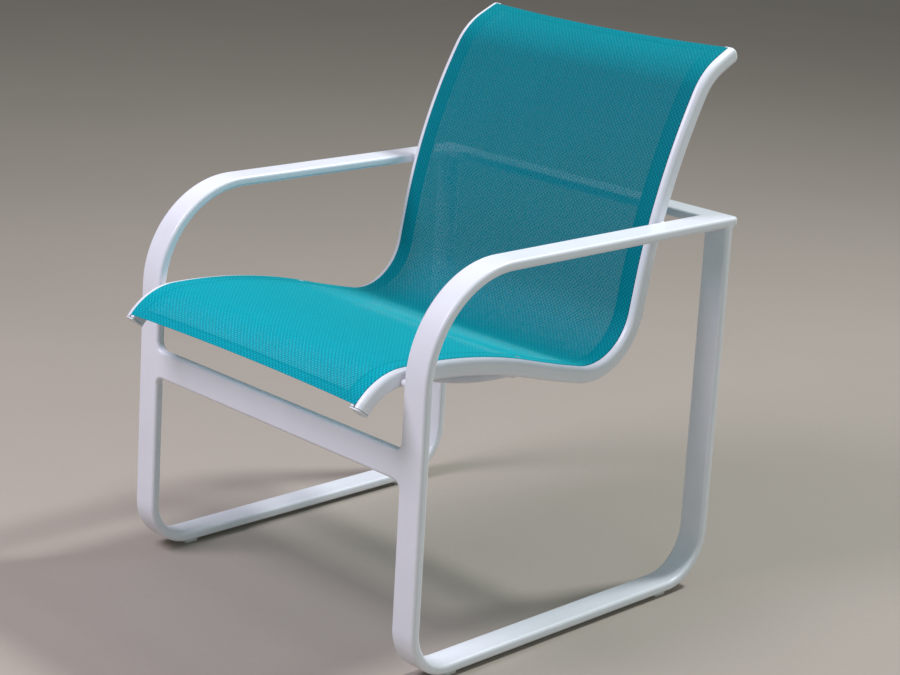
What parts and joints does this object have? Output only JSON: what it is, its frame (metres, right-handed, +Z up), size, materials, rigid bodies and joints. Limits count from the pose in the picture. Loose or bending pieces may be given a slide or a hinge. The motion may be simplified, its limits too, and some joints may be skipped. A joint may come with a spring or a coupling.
{
  "type": "sling patio chair",
  "caption": "Patio arm chair with a woven sling seat hung between two curved rails on a white flat-tube frame with looped arms and runners.",
  "frame": {"origin": "middle of the chair's footprint, on the floor", "axes": "+X to the sitter's left, +Y to the back, +Z up"},
  "size_m": [0.6158, 0.718, 0.8036],
  "materials": {
    "frame_coat": "white powder coat, satin",
    "sling_cloth": "woven vinyl-coated mesh, turquoise",
    "cap_plastic": "moulded, white",
    "glide_plastic": "moulded, off-white",
    "spline_plastic": "extruded, grey",
    "steel": "stainless"
  },
  "bodies": {
    "root": {"rear_bar": "frame_coat", "front_cross_rail": "frame_coat", "sling": "sling_cloth", "seat_stretcher": "frame_coat", "side_frame_left": "frame_coat", "sling_rail_left": "frame_coat", "spline_left": "spline_plastic", "glide_front_left": "glide_plastic", "stretcher_screw_front_left": "steel", "glide_rear_left": "glide_plastic", "stretcher_screw_rear_left": "steel", "rail_cap_front_left": "cap_plastic", "rail_cap_top_left": "cap_plastic", "rail_bolt_front_left": "steel", "rail_spacer_front_left": "frame_coat", "frame_insert_front_left": "steel", "rail_bolt_arm_left": "steel", "rail_spacer_arm_left": "frame_coat", "frame_insert_arm_left": "steel", "stretcher_plate_left": "frame_coat", "side_frame_right": "frame_coat", "sling_rail_right": "frame_coat", "spline_right": "spline_plastic", "glide_front_right": "glide_plastic", "stretcher_screw_front_right": "steel", "glide_rear_right": "glide_plastic", "stretcher_screw_rear_right": "steel", "rail_cap_front_right": "cap_plastic", "rail_cap_top_right": "cap_plastic", "rail_bolt_front_right": "steel", "rail_spacer_front_right": "frame_coat", "frame_insert_front_right": "steel", "rail_bolt_arm_right": "steel", "rail_spacer_arm_right": "frame_coat", "frame_insert_arm_right": "steel", "stretcher_plate_right": "frame_coat"}
  },
  "joints": []
}
